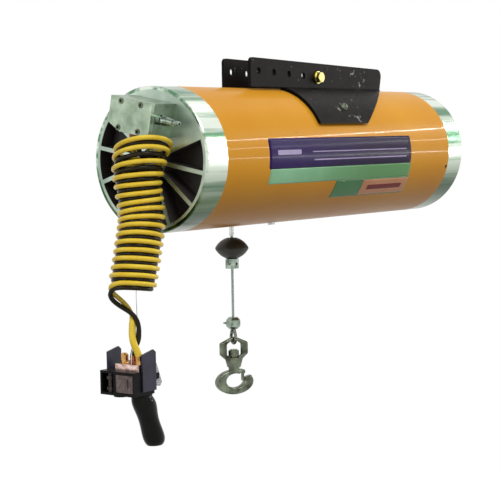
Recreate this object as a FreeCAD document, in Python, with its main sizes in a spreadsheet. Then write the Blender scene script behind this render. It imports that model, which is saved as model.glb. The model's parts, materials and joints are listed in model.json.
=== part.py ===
import FreeCAD, Part
import math
import os
import Sketcher

Vector = FreeCAD.Vector
Placement = FreeCAD.Placement
Rotation = FreeCAD.Rotation

ALONG_X = Vector(1, 0, 0)
ALONG_Y = Vector(0, 1, 0)
ALONG_Z = Vector(0, 0, 1)

doc = FreeCAD.newDocument("AirBalancer")
sheet = doc.addObject("Spreadsheet::Sheet", "Sizes")
pieces = []


# Sizes and expressions
class Size(float):
    """A number that keeps the sheet expression it was worked out from."""

    def __new__(cls, value, text):
        number = float.__new__(cls, value)
        number.text = text
        return number

    def __add__(self, other):
        return Size(float(self) + float(other), "(%s + %s)" % (self.text, text_of(other)))

    def __radd__(self, other):
        return Size(float(other) + float(self), "(%s + %s)" % (text_of(other), self.text))

    def __sub__(self, other):
        return Size(float(self) - float(other), "(%s - %s)" % (self.text, text_of(other)))

    def __rsub__(self, other):
        return Size(float(other) - float(self), "(%s - %s)" % (text_of(other), self.text))

    def __mul__(self, other):
        return Size(float(self) * float(other), "(%s * %s)" % (self.text, text_of(other)))

    def __rmul__(self, other):
        return Size(float(other) * float(self), "(%s * %s)" % (text_of(other), self.text))

    def __truediv__(self, other):
        return Size(float(self) / float(other), "(%s / %s)" % (self.text, text_of(other)))

    def __neg__(self):
        return Size(-float(self), "(0 - %s)" % self.text)


def text_of(value):
    return value.text if isinstance(value, Size) else "%.9g" % value


def sine(angle):
    return Size(math.sin(math.radians(angle)), "sin(%s * 1 deg)" % text_of(angle))


def cosine(angle):
    return Size(math.cos(math.radians(angle)), "cos(%s * 1 deg)" % text_of(angle))


def root(value):
    return Size(math.sqrt(value), "sqrt(%s)" % text_of(value))


def size(name, value):
    """Write one driving size to the sheet and give it back."""
    row = size.row
    size.row += 1
    sheet.set("A%d" % row, name)
    sheet.set("B%d" % row, "%.9g" % value)
    sheet.setAlias("B%d" % row, name)
    return Size(value, "Sizes." + name)


size.row = 1


def bind(thing, name, value):
    """Set a number on an object and tie it to the sheet."""
    if isinstance(value, Size):
        thing.setExpression(name, value.text)
    else:
        setattr(thing, name, value)


# Barrel and end caps
barrel_radius = size("barrel_radius", 125)
barrel_wall = size("barrel_wall", 5)
barrel_length = size("barrel_length", 751)
left_band = size("left_band", 53)
right_band = size("right_band", 56)
cap_spigot = size("cap_spigot", 18)
cap_edge = size("cap_edge", 1.5)
cap_turn = size("cap_turn", 11)
slip = size("slip", 0.08)
pocket_depth = size("pocket_depth", 30)
pocket_inner = size("pocket_inner", 34)
rim_width = size("rim_width", 11)
rib_width = size("rib_width", 7)
seal_width = size("seal_width", 5)
seal_depth = size("seal_depth", 3.5)
seal_inset = size("seal_inset", 2)
nut_recess = size("nut_recess", 14)

# Ball screw, reel and piston
screw_radius = size("screw_radius", 12.5)
screw_end_radius = size("screw_end_radius", 10)
screw_nut_flats = size("screw_nut_flats", 30)
screw_nut_height = size("screw_nut_height", 12)
screw_lead = size("screw_lead", 32)
lift = size("lift", 2000)
reel_radius = size("reel_radius", 62)
groove_depth = size("groove_depth", 1)
reel_shell = size("reel_shell", 9)
reel_web = size("reel_web", 10)
reel_end = size("reel_end", 20)
reel_flange = size("reel_flange", 72)
flange_width = size("flange_width", 5)
ball_nut_radius = size("ball_nut_radius", 24)
ball_nut_length = size("ball_nut_length", 60)
piston_length = size("piston_length", 28)
bearing_length = size("bearing_length", 13.4)
bearing_radius = size("bearing_radius", 50)
free_gap = size("free_gap", 0.3)

# Wire rope, its guide and stop
rope_radius = size("rope_radius", 2.5)
rope_x = size("rope_x", -125)
guide_radius = size("guide_radius", 4.5)
guide_boss = size("guide_boss", 9)
guide_drop = size("guide_drop", 24)
bumper_drop = size("bumper_drop", 3.5)
bumper_height = size("bumper_height", 39.4)
bumper_radius = size("bumper_radius", 32)
bumper_end = size("bumper_end", 9)
bumper_arc = size("bumper_arc", 37.5)
bumper_nose = size("bumper_nose", 4)
collar_radius = size("collar_radius", 12.7)
collar_height = size("collar_height", 18)
clamp_drop = size("clamp_drop", 150.5)
clamp_height = size("clamp_height", 22)
clamp_radius = size("clamp_radius", 13.5)
eye_drop = size("eye_drop", 49.3)
eye_radius = size("eye_radius", 11)
eye_bar = size("eye_bar", 3)

# Load hook and its swivel bail
hook_turn = size("hook_turn", -30)
bail_half_width = size("bail_half_width", 28.5)
bail_thickness = size("bail_thickness", 9)
bail_top = size("bail_top", 12)
bail_opening = size("bail_opening", 14.5)
bail_floor = size("bail_floor", -24)
boss_low = size("boss_low", -45)
boss_radius = size("boss_radius", 18)
shank_radius = size("shank_radius", 7)
hook_thickness = size("hook_thickness", 16)
hook_half_width = size("hook_half_width", 37.5)
hook_half_height = size("hook_half_height", 23.5)
throat_half_width = size("throat_half_width", 19)
throat_half_height = size("throat_half_height", 13.5)

# Suspension bracket
plate_thickness = size("plate_thickness", 6)
rail_gap = size("rail_gap", 54)
rail_left = size("rail_left", -184)
rail_right = size("rail_right", 264)
rail_rise_left = size("rail_rise_left", 54.5)
rail_rise_right = size("rail_rise_right", 42)
foot_rise = size("foot_rise", 1)
wing_left = size("wing_left", -85)
wing_drop = size("wing_drop", 67)
edge_lean = size("edge_lean", 1.6)
edge_taper = size("edge_taper", 9)
bolt_x = size("bolt_x", 30)
bolt_rise = size("bolt_rise", 22)
hole_pitch = size("hole_pitch", 47.5)
hole_rise = size("hole_rise", 2)
hole_radius = size("hole_radius", 6.5)
bolt_radius = size("bolt_radius", 6)
bolt_flats = size("bolt_flats", 19)
bolt_head = size("bolt_head", 8)
washer_radius = size("washer_radius", 12)
washer_thickness = size("washer_thickness", 2.5)
lug_x = size("lug_x", 25)
lug_angle = size("lug_angle", 43)
lug_radius = size("lug_radius", 8)

# Valve manifold on the left cap
manifold_width = size("manifold_width", 90)
manifold_height = size("manifold_height", 57)
manifold_depth = size("manifold_depth", 54)
manifold_across = size("manifold_across", 5)
manifold_up = size("manifold_up", 74)
cover_thickness = size("cover_thickness", 8)
cover_cut_across = size("cover_cut_across", 27)
cover_cut_up = size("cover_cut_up", 12)
cover_screw_across = size("cover_screw_across", 43)
cover_screw_up = size("cover_screw_up", 44)
screw_head = size("screw_head", 5)
screw_shank = size("screw_shank", 3)

# Hoses
hose_radius = size("hose_radius", 4)
coil_radius = size("coil_radius", 40.5)
fitting_length = size("fitting_length", 14)

# Pendant control
head_x = size("head_x", -540)
head_y = size("head_y", -12)
head_z = size("head_z", -344)
head_width = size("head_width", 73)
head_depth = size("head_depth", 52)
head_height = size("head_height", 40)
ear_thickness = size("ear_thickness", 3)
grip_top = size("grip_top", -43)

# Plugs and small screws
plug_radius = size("plug_radius", 5)
plug_head = size("plug_head", 8)
top_plug_x = size("top_plug_x", 292)
vent_plug_x = size("vent_plug_x", -114)
vent_plug_angle = size("vent_plug_angle", -79)
lock_screw_radius = size("lock_screw_radius", 4)
lock_inset = size("lock_inset", 5)
lock_screw_angle = size("lock_screw_angle", -15)
lug_shank = size("lug_shank", 4)
set_screw_radius = size("set_screw_radius", 2.5)
clamp_pin_radius = size("clamp_pin_radius", 3)
latch_x = size("latch_x", 16.5)
latch_z = size("latch_z", -55)
latch_lug = size("latch_lug", 4.5)
latch_pin = size("latch_pin", 2)
clamp_pin_angle = size("clamp_pin_angle", 35)
bail_rounding = size("bail_rounding", 3.3)
bail_corner = size("bail_corner", 4)
swivel_flats = size("swivel_flats", 19)
swivel_height = size("swivel_height", 10)
throat_low_angle = size("throat_low_angle", 14)
throat_high_angle = size("throat_high_angle", 52)
hook_rounding = size("hook_rounding", 3.5)
neck_radius = size("neck_radius", 10.5)
neck_length = size("neck_length", 9)
latch_gap = size("latch_gap", 3)
latch_cheek = size("latch_cheek", 2)
spacer_radius = size("spacer_radius", 10)
inlet_x = size("inlet_x", -43.5)
inlet_up = size("inlet_up", 3)
yellow_fitting_x = size("yellow_fitting_x", -37.5)
yellow_fitting_across = size("yellow_fitting_across", 6.9)
black_fitting_x = size("black_fitting_x", -40)
black_fitting_across = size("black_fitting_across", -10.4)
coil_bottom = size("coil_bottom", -210)
wire_radius = size("wire_radius", 0.75)
block_height = size("block_height", 11)
window_near = size("window_near", 8)
window_far = size("window_far", 33)
plate_near = size("plate_near", -34)
plate_far = size("plate_far", 4)
plate_low = size("plate_low", -35)
plate_high = size("plate_high", -5)
lever_x = size("lever_x", 60)
lever_z = size("lever_z", -12)
lever_low = size("lever_low", -33.7)
lever_high = size("lever_high", 5.7)
lever_pin = size("lever_pin", 2.5)
inlet_bore = size("inlet_bore", 2)
collar_deep = size("collar_deep", 21)
collar_wide = size("collar_wide", 16.2)
exhaust_radius = size("exhaust_radius", 13)
grip_x = size("grip_x", 38)
grip_lean = size("grip_lean", 31)
grip_length = size("grip_length", 88)
grip_deep = size("grip_deep", 20)
grip_wide = size("grip_wide", 17.5)
grip_y = size("grip_y", -20)

# Routes of the hoses and the wire, from the barrel's middle
coil_route = [(-478, -20, 28), (-478, -9.1, -27.8), (-478, -24, -90), (-501, -30, -150), (-520, -30, -217)]
black_route = [(-545, -2, -206), (-541, -7, -225), (-533, -19, -237), (-523, -32, -247), (-515, -41, -261),
               (-510, -42, -279), (-508, -36, -297), (-513.5, -27, -310), (-514, -26, -322)]
yellow_route = [(-533, -3, -206), (-526, -11, -221), (-519, -21, -231), (-514, -27, -245), (-516, -27, -263),
                (-519, -31, -281), (-520, -36, -299), (-516.5, -39.5, -311), (-516, -40, -322)]
wire_route = [(-514, -36, -206), (-512, -34, -237), (-510, -34, -262), (-510, -31, -282), (-516, -29, -302),
              (-522, -29, -318), (-523, -30, -335)]

# Worked-out sizes
full_pockets = 12
left_pockets = 8
whole_turn = 2 * math.pi
bore_radius = barrel_radius - barrel_wall
half = barrel_length / 2
face_left = -(half + left_band)
face_right = half + right_band
spigot_radius = bore_radius - slip
spigot_end = half - cap_spigot
recess_radius = screw_nut_flats / 2 + 5
rope_y = reel_radius
stroke = lift * screw_lead / (whole_turn * reel_radius)
reel_length = stroke + 2 * reel_end
reel_left = rope_x - reel_end
bearing_left = reel_left - free_gap - bearing_length
piston_left = bearing_left - piston_length
bolt_z = barrel_radius + bolt_rise
rail_top_left = barrel_radius + rail_rise_left
rail_top_right = barrel_radius + rail_rise_right
rail_foot = barrel_radius + foot_rise
wing_low = barrel_radius - wing_drop
guide_low = -(barrel_radius + guide_drop)
bumper_top = guide_low - bumper_drop
clamp_top = bumper_top - clamp_drop
eye_axis = clamp_top - eye_drop
hanger_x = bolt_x - hole_pitch
hanger_z = bolt_z + hole_rise
rail_inner = rail_gap / 2
rail_outer = rail_inner + plate_thickness


# Drawing helpers
def origin_feature(body, role):
    return [item for item in body.Origin.OriginFeatures if item.Role == role][0]


def outline(body, plane, corners, arcs=None, lift=0.0):
    """Draw a closed outline of lines and arcs on one of the body's own planes."""
    arcs = arcs or {}
    sketch = body.newObject("Sketcher::SketchObject", "Outline")
    sketch.AttachmentSupport = (origin_feature(body, plane), [""])
    sketch.MapMode = "FlatFace"
    if isinstance(lift, Size):
        sketch.AttachmentOffset = Placement(Vector(0, 0, float(lift)), Rotation())
        sketch.setExpression("AttachmentOffset.Base.z", lift.text)
    elif lift:
        sketch.AttachmentOffset = Placement(Vector(0, 0, lift), Rotation())
    count = len(corners)
    ends = []
    for index, start in enumerate(corners):
        end = corners[(index + 1) % count]
        if index not in arcs:
            line = Part.LineSegment(Vector(start[0], start[1], 0), Vector(end[0], end[1], 0))
            edge = sketch.addGeometry(line)
            ends.append((edge, 1, 2))
            continue
        centre, turn = arcs[index]
        radius = math.hypot(start[0] - centre[0], start[1] - centre[1])
        from_angle = math.atan2(start[1] - centre[1], start[0] - centre[0])
        to_angle = math.atan2(end[1] - centre[1], end[0] - centre[0])
        circle = Part.Circle(Vector(centre[0], centre[1], 0), ALONG_Z, radius)
        if turn > 0:
            edge = sketch.addGeometry(Part.ArcOfCircle(circle, from_angle, to_angle))
            ends.append((edge, 1, 2))
        else:
            edge = sketch.addGeometry(Part.ArcOfCircle(circle, to_angle, from_angle))
            ends.append((edge, 2, 1))
        fix(sketch, edge, 3, centre)
    for index, corner in enumerate(corners):
        before = ends[index - 1]
        edge, first, last = ends[index]
        sketch.addConstraint(Sketcher.Constraint("Coincident", before[0], before[2], edge, first))
        previous = (index - 1) % count
        if previous in arcs:
            centre = arcs[previous][0]
            level = abs(corner[0] - centre[0]) > abs(corner[1] - centre[1])
            fix(sketch, edge, first, corner, "Y" if level else "X")
        else:
            fix(sketch, edge, first, corner)
    return sketch


def fix(sketch, edge, point, place, which="XY"):
    """Hold a sketch point at a distance from the sketch's origin."""
    for axis, value in (("X", place[0]), ("Y", place[1])):
        if axis not in which:
            continue
        constraint = Sketcher.Constraint("Distance" + axis, -1, 1, edge, point, float(value))
        number = sketch.addConstraint(constraint)
        if isinstance(value, Size):
            sketch.setExpression("Constraints[%d]" % number, value.text)


def new_body():
    return doc.addObject("PartDesign::Body", "Body")


def revolve(body, sketch, axis="H_Axis", angle=360):
    turned = body.newObject("PartDesign::Revolution", "Revolution")
    turned.Profile = sketch
    turned.ReferenceAxis = (sketch, [axis])
    turned.Angle = angle
    return turned




def put(thing, base, turn=None):
    """Place an object, with its base point tied to the sheet."""
    thing.Placement = Placement(Vector(*[float(value) for value in base]), turn or Rotation())
    for axis, value in zip("xyz", base):
        if isinstance(value, Size):
            thing.setExpression("Placement.Base." + axis, value.text)


def towards(direction):
    return Rotation(ALONG_Z, Vector(*direction))


def rod(radius, length, base=(0, 0, 0), direction=(0, 0, 1)):
    solid = doc.addObject("Part::Cylinder", "Rod")
    bind(solid, "Radius", radius)
    bind(solid, "Height", length)
    put(solid, base, towards(direction))
    return solid


def cone(near, far, length, base=(0, 0, 0), direction=(0, 0, 1)):
    solid = doc.addObject("Part::Cone", "Cone")
    bind(solid, "Radius1", near)
    bind(solid, "Radius2", far)
    bind(solid, "Height", length)
    put(solid, base, towards(direction))
    return solid


def hexagon(flats, length, base=(0, 0, 0), direction=(0, 0, 1)):
    solid = doc.addObject("Part::Prism", "Hexagon")
    solid.Polygon = 6
    bind(solid, "Circumradius", flats / root(3))
    bind(solid, "Height", length)
    put(solid, base, towards(direction))
    return solid


def block(low, high):
    solid = doc.addObject("Part::Box", "Block")
    for name, near, far in zip(("Length", "Width", "Height"), low, high):
        bind(solid, name, far - near)
    put(solid, low)
    return solid


def join(items):
    if len(items) == 1:
        return items[0]
    fused = doc.addObject("Part::MultiFuse", "Joined")
    fused.Shapes = items
    return fused


def carve(base, tools):
    result = doc.addObject("Part::Cut", "Carved")
    result.Base = base
    result.Tool = join(tools)
    return result


def shared(first, second):
    result = doc.addObject("Part::Common", "Shared")
    result.Base = first
    result.Tool = second
    return result


def ring(outer, inner, length, base=(0, 0, 0), direction=(0, 0, 1)):
    return carve(rod(outer, length, base, direction), [rod(inner, length, base, direction)])


def shaped(shape):
    thing = doc.addObject("Part::Feature", "Shaped")
    thing.Shape = shape
    return thing


def pad(body, sketch, length, middle=False, reverse=False):
    feature = body.newObject("PartDesign::Pad", "Pad")
    feature.Profile = sketch
    bind(feature, "Length", length)
    feature.SideType = "Symmetric" if middle else "One side"
    feature.Reversed = reverse
    return feature


def round_edges(body, feature, radius, wanted):
    """Fillet the edges of a body's last feature that the test picks."""
    doc.recompute()
    names = ["Edge%d" % (number + 1) for number, edge in enumerate(feature.Shape.Edges) if wanted(edge)]
    fillet = body.newObject("PartDesign::Fillet", "Fillet")
    fillet.Base = (feature, names)
    bind(fillet, "Radius", radius)
    body.Tip = fillet
    return fillet


def piece(label, thing, base=(0.0, 0.0, 0.0), turn=None):
    """Name a sub-part and set it in the part's frame, whose origin is the first free hanger hole."""
    thing.Label = label
    put(thing, (base[0] - hanger_x, base[1], base[2] - hanger_z), turn)
    pieces.append(thing)
    return thing


def grouped(label, members):
    """Keep like fasteners as one sub-part made of separate solids."""
    group = doc.addObject("Part::Compound", "Group")
    group.Links = members
    group.Label = label
    for member in members:
        pieces.remove(member)
    pieces.append(group)


def radial(angle, side):
    """A direction square to the barrel, on the front (-1) or the rear (1), up by the angle."""
    return (0, side * cosine(angle), sine(angle))


def on_barrel(x, angle, side, radius):
    direction = radial(angle, side)
    return (x, direction[1] * radius, direction[2] * radius)


# Barrel, end caps and their seals
def make_barrel():
    middle = half - lock_inset
    tools = [
        rod(bore_radius, barrel_length, (-half, 0, 0), (1, 0, 0)),
        rod(guide_boss + slip, barrel_radius, (rope_x, rope_y, -barrel_radius)),
        rod(lock_screw_radius + slip, barrel_radius * 2, (middle, 0, 0), radial(lock_screw_angle, -1)),
        rod(plug_radius + slip, barrel_radius * 2, (top_plug_x, 0, 0)),
        rod(plug_radius + slip, barrel_radius * 2, (vent_plug_x, 0, 0), radial(vent_plug_angle, -1))]
    for side in (1, -1):
        tools.append(rod(lug_shank + slip, barrel_radius * 2, (lug_x, 0, 0), radial(lug_angle, side)))
    piece("barrel", carve(rod(barrel_radius, barrel_length, (-half, 0, 0), (1, 0, 0)), tools))


def make_cap(label, band, pockets, x, turn, drilled):
    """A turned cap with pockets milled in its outer face, which leave the ribs standing."""
    body = new_body()
    groove = band + cap_spigot - seal_inset - seal_width
    profile = outline(body, "XZ_Plane", [
        (0.0, recess_radius),
        (0.0, barrel_radius - cap_edge),
        (cap_edge, barrel_radius),
        (band, barrel_radius),
        (band, spigot_radius),
        (groove, spigot_radius),
        (groove, spigot_radius - seal_depth),
        (groove + seal_width, spigot_radius - seal_depth),
        (groove + seal_width, spigot_radius),
        (band + cap_spigot, spigot_radius),
        (band + cap_spigot, screw_end_radius + slip),
        (nut_recess, screw_end_radius + slip),
        (nut_recess, recess_radius)])
    revolve(body, profile)
    half_rib = rib_width / 2
    rim = barrel_radius - rim_width
    near = root(pocket_inner * pocket_inner - half_rib * half_rib)
    far = root(rim * rim - half_rib * half_rib)
    across, up = cosine(180 / full_pockets), sine(180 / full_pockets)
    corners = [(reach * across + half_rib * up, side * (reach * up - half_rib * across))
               for reach, side in ((near, -1), (far, -1), (far, 1), (near, 1))]
    centre = (0.0, 0.0)
    pocket = body.newObject("PartDesign::Pocket", "Pocket")
    pocket.Profile = outline(body, "YZ_Plane", corners, {1: (centre, 1), 3: (centre, -1)})
    pocket.Reversed = True
    bind(pocket, "Length", pocket_depth)
    pattern = body.newObject("PartDesign::PolarPattern", "Pattern")
    pattern.Originals = [pocket]
    pattern.Axis = (origin_feature(body, "X_Axis"), [""])
    pattern.Angle = 360 if pockets == full_pockets else 360 / full_pockets * (pockets - 1)
    pattern.Occurrences = pockets
    body.Tip = pattern
    cap = body
    if drilled:
        depth = band + lock_inset
        cap = carve(body, [rod(lock_screw_radius + slip, barrel_radius * 2, (depth, 0, 0),
                               radial(lock_screw_angle, 1))])
    piece(label, cap, (x, 0.0, 0.0), turn)


def make_caps():
    solid_middle = 360 / full_pockets * (left_pockets - 1) / 2 + 180
    make_cap("left_cap", left_band, left_pockets, face_left,
             Rotation(ALONG_X, 90 - solid_middle + cap_turn), False)
    flipped = Rotation(ALONG_Z, 180)
    make_cap("right_cap", right_band, full_pockets, face_right, flipped, True)
    inset = seal_inset + seal_width
    for label, start in (("left_seal", cap_spigot - half - inset), ("right_seal", half - cap_spigot + seal_inset)):
        piece(label, ring(bore_radius, spigot_radius - seal_depth, seal_width, (0, 0, 0), (1, 0, 0)),
              (start, 0.0, 0.0))


def make_plugs():
    head = 4.0
    through = barrel_wall + 1
    for label, x, angle in (("top_plug", top_plug_x, 90), ("vent_plug", vent_plug_x, vent_plug_angle)):
        base = on_barrel(x, angle, -1, barrel_radius)
        plug = join([rod(plug_head, head, (0, 0, 0)), rod(plug_radius, through, (0, 0, -through))])
        piece(label, plug, base, towards(radial(angle, -1)))
    sunk = 1.0
    screw = carve(rod(lock_screw_radius, 12, (0, 0, -12)), [hexagon(5, 4, (0, 0, -4))])
    base = on_barrel(half - lock_inset, lock_screw_angle, -1, barrel_radius - sunk)
    piece("cap_lock_screw", screw, base, towards(radial(lock_screw_angle, -1)))


# Ball screw, reel and piston
def make_screw():
    thread_end = face_left + nut_recess - screw_nut_height - 1
    other_end = face_right - nut_recess + screw_nut_height + 1
    shaft = rod(screw_radius, (spigot_end - slip) * 2, (-(spigot_end - slip), 0, 0), (1, 0, 0))
    ends = rod(screw_end_radius, other_end - thread_end, (thread_end, 0, 0), (1, 0, 0))
    piece("ball_screw", join([shaft, ends]))
    for label, x in (("screw_nut_left", face_left + nut_recess - screw_nut_height),
                     ("screw_nut_right", face_right - nut_recess)):
        nut = carve(hexagon(screw_nut_flats, screw_nut_height, (0, 0, 0), (1, 0, 0)),
                    [rod(screw_end_radius + slip, screw_nut_height, (0, 0, 0), (1, 0, 0))])
        piece(label, nut, (x, 0.0, 0.0))


def make_reel():
    """The drum, with one rope groove of the screw's own lead, so the rope leaves at a fixed point."""
    bore = ball_nut_radius + slip
    crest = reel_radius - groove_depth
    hollow = crest - reel_shell
    hub = bore + reel_web
    body = new_body()
    profile = outline(body, "XZ_Plane", [
        (0.0, bore),
        (0.0, reel_flange),
        (flange_width, reel_flange),
        (flange_width, crest),
        (reel_length - flange_width, crest),
        (reel_length - flange_width, reel_flange),
        (reel_length, reel_flange),
        (reel_length, bore),
        (reel_length - reel_web, bore),
        (reel_length - reel_web, hollow),
        (reel_web, hollow),
        (reel_web, hub),
        (ball_nut_length, hub),
        (ball_nut_length, bore)])
    revolve(body, profile)
    groove_radius = rope_radius + free_gap
    helix = Part.makeHelix(screw_lead, stroke, reel_radius)
    start = Part.Circle(Vector(reel_radius, 0, 0), ALONG_Y, groove_radius).toShape()
    groove = Part.Wire(helix.Edges).makePipeShell([Part.Wire([start])], True, True)
    groove.rotate(Vector(0, 0, 0), ALONG_Z, 90)
    groove.rotate(Vector(0, 0, 0), ALONG_Y, 90)
    groove.translate(Vector(reel_end, 0, 0))
    piece("reel", carve(body, [shaped(groove)]), (reel_left, 0.0, 0.0))
    nut = ring(ball_nut_radius, screw_radius + slip, ball_nut_length, (0, 0, 0), (1, 0, 0))
    piece("ball_nut", nut, (reel_left, 0.0, 0.0))


def make_piston():
    body = new_body()
    groove = (piston_length - seal_width) / 2
    outer = bore_radius - slip
    profile = outline(body, "XZ_Plane", [
        (0.0, screw_radius + slip),
        (0.0, outer),
        (groove, outer),
        (groove, outer - seal_depth),
        (groove + seal_width, outer - seal_depth),
        (groove + seal_width, outer),
        (piston_length, outer),
        (piston_length, screw_radius + slip)])
    revolve(body, profile)
    piece("piston", body, (piston_left, 0.0, 0.0))
    seal = ring(outer + slip / 2, outer - seal_depth, seal_width, (0, 0, 0), (1, 0, 0))
    piece("piston_seal", seal, (piston_left + groove, 0.0, 0.0))
    bearing = ring(bearing_radius, ball_nut_radius, bearing_length, (0, 0, 0), (1, 0, 0))
    piece("thrust_bearing", bearing, (bearing_left, 0.0, 0.0))


# Wire rope, guide, stop and clamp
def make_rope():
    boss_low_z = -(barrel_radius - guide_boss)
    boss_top = boss_low_z + 24
    tube = [rod(guide_boss, boss_top - boss_low_z, (0, 0, boss_low_z)),
            rod(guide_radius, boss_low_z - guide_low, (0, 0, guide_low))]
    bore = rod(rope_radius + free_gap, boss_top - guide_low, (0, 0, guide_low))
    piece("rope_guide", carve(join(tube), [bore]), (rope_x, rope_y, 0.0))
    rope_top = -15.0
    grip_depth = 7.0
    piece("wire_rope", rod(rope_radius, rope_top - clamp_top + grip_depth, (0, 0, 0)),
          (rope_x, rope_y, clamp_top - grip_depth))
    body = new_body()
    tall = bumper_height / 2
    reach = bumper_radius - bumper_end
    chord = root(reach * reach + tall * tall)
    back = root(bumper_arc * bumper_arc - chord * chord / 4) / chord
    centre_x = (bumper_radius + bumper_end) / 2 - tall * back
    centre_z = reach * back - tall / 2
    bore = rope_radius + slip
    profile = outline(body, "XZ_Plane", [
        (bore, -tall),
        (bumper_end, -tall),
        (bumper_radius, 0.0),
        (bumper_end, tall),
        (bore, tall)], {1: ((centre_x, centre_z), 1), 2: ((centre_x, -centre_z), 1)})
    turned = revolve(body, profile, "V_Axis")
    round_edges(body, turned, bumper_nose, lambda edge: edge.BoundBox.XLength > 2 * bumper_radius - 1)
    piece("bumper", body, (rope_x, rope_y, bumper_top - tall))
    collar_low = bumper_top - bumper_height - free_gap - collar_height
    collar = ring(collar_radius, rope_radius + slip, collar_height)
    holes = []
    fitted = []
    for angle in (195, 260):
        side = (cosine(angle), sine(angle), 0)
        holes.append(rod(set_screw_radius + slip, 40, (0, 0, collar_height / 2), side))
        screw = carve(rod(set_screw_radius, 9, (0, 0, 3)), [hexagon(2.5, 2, (0, 0, 10))])
        base = (rope_x, rope_y, collar_low + collar_height / 2)
        fitted.append(piece("screw", screw, base, towards(side)))
    grouped("collar_screws", fitted)
    piece("stop_collar", carve(collar, holes), (rope_x, rope_y, collar_low))
    make_clamp(grip_depth)


def make_clamp(grip_depth):
    body = new_body()
    taper = 5.0
    profile = outline(body, "XZ_Plane", [
        (0.0, -clamp_height),
        (clamp_radius - taper, -clamp_height),
        (clamp_radius, -clamp_height + taper),
        (clamp_radius, -taper),
        (clamp_radius - taper, 0.0),
        (0.0, 0.0)])
    revolve(body, profile, "V_Axis")
    middle = clamp_height / 2
    point = 6.0
    out = (-sine(clamp_pin_angle), cosine(clamp_pin_angle), 0)
    start = clamp_radius
    pin_hole = rod(clamp_pin_radius + slip, start * 2 + 2, (-out[0] * start, -out[1] * start, -middle), out)
    bore = rod(rope_radius + slip, grip_depth, (0, 0, -grip_depth))
    piece("rope_clamp", carve(body, [bore, pin_hole]), (rope_x, rope_y, clamp_top))
    pin = join([rod(clamp_pin_radius, start * 2), cone(clamp_pin_radius, 0.8, point, (0, 0, start * 2))])
    base = (rope_x - out[0] * start, rope_y - out[1] * start, clamp_top - middle)
    piece("clamp_screw", pin, base, towards(out))
    make_eye()


def make_eye():
    """The rope's eye: two legs from the clamp, and a round bottom that carries the bail."""
    low = clamp_top - clamp_height
    centre_z = eye_axis + eye_radius
    top_y = 3.2
    rise = low - centre_z + 3
    away = math.hypot(top_y, rise)
    lean = math.atan2(top_y, rise)
    touch = math.acos(eye_radius / away) + lean
    touch_y, touch_z = eye_radius * math.sin(touch), eye_radius * math.cos(touch)
    path = Part.Wire([
        Part.LineSegment(Vector(0, top_y, rise), Vector(0, touch_y, touch_z)).toShape(),
        Part.Arc(Vector(0, touch_y, touch_z), Vector(0, 0, -eye_radius),
                 Vector(0, -touch_y, touch_z)).toShape(),
        Part.LineSegment(Vector(0, -touch_y, touch_z), Vector(0, -top_y, rise)).toShape()])
    start = Part.Circle(Vector(0, top_y, rise), Vector(0, touch_y - top_y, touch_z - rise), eye_bar)
    loop = path.makePipeShell([Part.Wire([start.toShape()])], True, False)
    box = Part.makeBox(60, 60, float(low - centre_z) + 60, Vector(-30, -30, -60))
    piece("rope_eye", shaped(loop.common(box)), (rope_x, rope_y, centre_z), Rotation(ALONG_Z, hook_turn))


# Bail, swivel, hook and latch
def hung(label, thing, x=0.0, y=0.0, z=0.0, direction=(0, 0, 1)):
    """Place a piece of the hook group from the middle of the eye's lowest bar."""
    along, across = cosine(hook_turn), sine(hook_turn)
    base = (rope_x + x * along - y * across, rope_y + x * across + y * along, eye_axis + z)
    return piece(label, thing, base, Rotation(ALONG_Z, hook_turn) * towards(direction))


def make_bail():
    flat = 4.0
    shoulder = 1.0
    side_low = -21.0
    foot = -33.0
    window_flat = 7.0
    window_shoulder = -1.5
    under = eye_bar + free_gap
    foot_half = 15.0
    body = new_body()
    plate = outline(body, "XZ_Plane", [
        (flat, bail_top), (bail_half_width, shoulder), (bail_half_width, side_low), (foot_half, foot),
        (-foot_half, foot), (-bail_half_width, side_low), (-bail_half_width, shoulder), (-flat, bail_top)])
    pad(body, plate, bail_thickness, middle=True)
    window = body.newObject("PartDesign::Pocket", "Window")
    window.Profile = outline(body, "XZ_Plane", [
        (-window_flat, under), (-bail_opening, window_shoulder), (-bail_opening, bail_floor),
        (bail_opening, bail_floor), (bail_opening, window_shoulder), (window_flat, under)])
    window.Type = "ThroughAll"
    window.SideType = "Symmetric"
    corners = round_edges(body, window, bail_corner, lambda edge: edge.BoundBox.YLength > 1)
    round_edges(body, corners, bail_rounding, lambda edge: edge.BoundBox.YLength < 0.1)
    boss_top = bail_floor - 2
    boss = cone(boss_radius - 5, boss_radius, boss_top - boss_low, (0, 0, boss_low))
    bore = rod(shank_radius + slip, bail_floor - boss_low, (0, 0, boss_low))
    hung("bail", carve(join([body, boss]), [bore]))


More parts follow.
